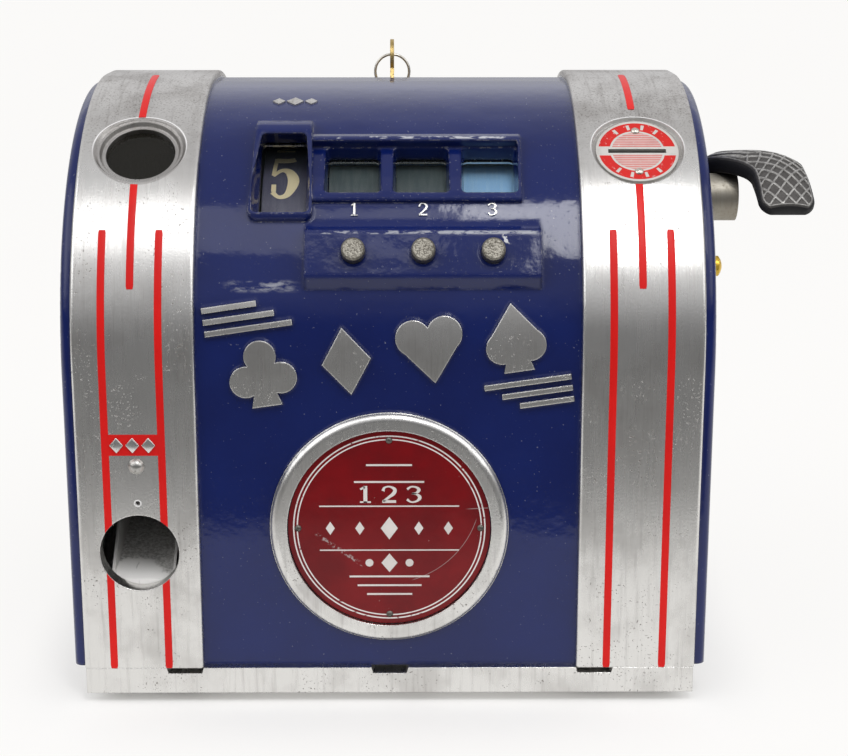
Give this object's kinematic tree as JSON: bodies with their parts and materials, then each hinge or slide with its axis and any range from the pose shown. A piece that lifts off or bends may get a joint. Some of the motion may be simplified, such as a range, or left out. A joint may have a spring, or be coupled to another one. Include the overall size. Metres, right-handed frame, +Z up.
{
  "type": "trade stimulator",
  "caption": "Counter coin game in a rounded cast cabinet: polished bands, reel windows with shutters, push buttons, side lever, gum outlet, enamel disc and a keyed back door.",
  "frame": {"origin": "on the floor, under the middle of the four counter screw holes", "axes": "+X to the right along the width, +Y to the back, +Z up"},
  "size_m": [0.2765, 0.2053, 0.2393],
  "materials": {
    "navy_paint": "gloss enamel on cast aluminium, bands and ring polished bare",
    "polished_aluminium": "polished casting with fine pits",
    "rubber": "matt",
    "steel": "zinc-plated",
    "spring_steel": "oiled",
    "nickel": "worn nickel plate",
    "brass": "aged",
    "glass": "clear",
    "red_enamel": "gloss enamel",
    "coin_red": "paint on etched plate",
    "lever_iron": "bare casting, worn",
    "odds_paint": "satin",
    "reel_paint": "satin",
    "shutter_paint": "satin",
    "sheet_steel": "tinned sheet"
  },
  "bodies": {
    "case": {"base": "polished_aluminium", "rubber_feet": "rubber", "cabinet": "navy_paint", "cabinet_screws": "steel", "window_glass": "glass", "glass_retainer": "sheet_steel", "retainer_screws": "steel", "porthole_glass": "glass", "porthole_ring": "sheet_steel", "coin_plate": "coin_red", "coin_plate_rivets": "nickel", "front_disc": "red_enamel", "disc_screws": "nickel", "gum_rivet": "polished_aluminium", "side_screw": "brass", "button_spring_left": "spring_steel", "button_spring_centre": "spring_steel", "button_spring_right": "spring_steel", "button_bracket": "sheet_steel", "left_frame": "steel", "right_frame": "steel", "tie_rods": "steel", "tie_nuts": "steel", "frame_screws": "steel", "reel_shaft": "steel", "lever_bushing": "brass", "lever_spring": "spring_steel", "coin_chute": "sheet_steel", "cash_box": "sheet_steel", "gum_hopper": "sheet_steel", "gum_chute": "sheet_steel", "door_hinge": "brass", "hinge_pin": "steel"},
    "button_left": {"button_left": "nickel"},
    "button_centre": {"button_centre": "nickel"},
    "button_right": {"button_right": "nickel"},
    "odds_reel": {"odds_reel": "odds_paint"},
    "reel_left": {"reel_left": "reel_paint"},
    "reel_centre": {"reel_centre": "reel_paint"},
    "reel_right": {"reel_right": "reel_paint"},
    "shutter_left": {"shutter_left": "shutter_paint"},
    "shutter_centre": {"shutter_centre": "shutter_paint"},
    "shutter_right": {"shutter_right": "shutter_paint"},
    "stop_bail": {"stop_bail": "steel"},
    "main_shaft": {"main_shaft": "steel", "reel_kicker": "steel", "main_crank": "steel", "gum_wheel": "polished_aluminium"},
    "drive_link": {"drive_link": "steel"},
    "lever": {"lever": "lever_iron", "lever_hub": "nickel", "lever_shaft": "steel", "lever_crank": "steel"},
    "back_door": {"back_door": "navy_paint", "lock_body": "brass"},
    "lock": {"lock_plug": "brass", "lock_cam": "steel", "key": "brass"},
    "key_ring": {"key_ring": "nickel"}
  },
  "joints": [
    {"name": "lever_turn", "type": "hinge", "parent": "case", "child": "lever", "pos_m": [0.12, -0.04, 0.185], "axis": [1, 0, 0], "range_deg": [0, 38], "stiffness_Nm_per_rad": 0.8, "springref_deg": -20.05},
    {"name": "link_turn", "type": "hinge", "parent": "lever", "child": "drive_link", "pos_m": [0.112, -0.018, 0.185], "axis": [1, 0, 0], "range_deg": [-38, 0]},
    {"name": "main_turn", "type": "hinge", "parent": "case", "child": "main_shaft", "pos_m": [0, 0.01, 0.075], "axis": [1, 0, 0], "range_deg": [0, 38], "deforming": ["lever_spring"]},
    {"name": "bail_turn", "type": "hinge", "parent": "case", "child": "stop_bail", "pos_m": [0, 0.032, 0.15], "axis": [1, 0, 0], "range_deg": [-9.5, 0]},
    {"name": "odds_reel_spin", "type": "hinge", "parent": "case", "child": "odds_reel", "pos_m": [-0.0381, -0.02505, 0.15498], "axis": [1, 0, 0], "continuous": true},
    {"name": "reel_left_spin", "type": "hinge", "parent": "case", "child": "reel_left", "pos_m": [-0.0127, -0.02505, 0.15498], "axis": [1, 0, 0], "continuous": true},
    {"name": "reel_centre_spin", "type": "hinge", "parent": "case", "child": "reel_centre", "pos_m": [0.0127, -0.02505, 0.15498], "axis": [1, 0, 0], "continuous": true},
    {"name": "reel_right_spin", "type": "hinge", "parent": "case", "child": "reel_right", "pos_m": [0.0381, -0.02505, 0.15498], "axis": [1, 0, 0], "continuous": true},
    {"name": "shutter_left_turn", "type": "hinge", "parent": "case", "child": "shutter_left", "pos_m": [-0.0127, -0.02505, 0.15498], "axis": [-1, 0, 0], "range_deg": [0, 32]},
    {"name": "button_left_press", "type": "slide", "parent": "case", "child": "button_left", "axis": [0, 0.9033, -0.4289], "range_m": [0, 0.004], "stiffness_N_per_m": 300, "springref_m": -0.003, "deforming": ["button_spring_left"]},
    {"name": "shutter_centre_turn", "type": "hinge", "parent": "case", "child": "shutter_centre", "pos_m": [0.0127, -0.02505, 0.15498], "axis": [-1, 0, 0], "range_deg": [0, 32]},
    {"name": "button_centre_press", "type": "slide", "parent": "case", "child": "button_centre", "axis": [0, 0.9033, -0.4289], "range_m": [0, 0.004], "stiffness_N_per_m": 300, "springref_m": -0.003, "deforming": ["button_spring_centre"]},
    {"name": "shutter_right_turn", "type": "hinge", "parent": "case", "child": "shutter_right", "pos_m": [0.0381, -0.02505, 0.15498], "axis": [-1, 0, 0], "range_deg": [-32, 0]},
    {"name": "button_right_press", "type": "slide", "parent": "case", "child": "button_right", "axis": [0, 0.9033, -0.4289], "range_m": [0, 0.004], "stiffness_N_per_m": 300, "springref_m": -0.003, "deforming": ["button_spring_right"]},
    {"name": "door_open", "type": "hinge", "parent": "case", "child": "back_door", "pos_m": [0, 0.10075, 0.0176], "axis": [-1, 0, 0], "range_deg": [0, 85]},
    {"name": "lock_turn", "type": "hinge", "parent": "back_door", "child": "lock", "pos_m": [0, 0.05207, 0.2179], "axis": [0, 0.4384, 0.8988], "range_deg": [-90, 0]},
    {"name": "ring_swing", "type": "hinge", "parent": "lock", "child": "key_ring", "pos_m": [0, 0.05974, 0.23363], "axis": [1, 0, 0], "range_deg": [-5, 60]}
  ],
  "couplings": [
    {"joint": "link_turn", "follows": "lever_turn", "ratio": -1},
    {"joint": "main_turn", "follows": "lever_turn", "ratio": 1},
    {"joint": "bail_turn", "follows": "lever_turn", "ratio": -0.25}
  ]
}
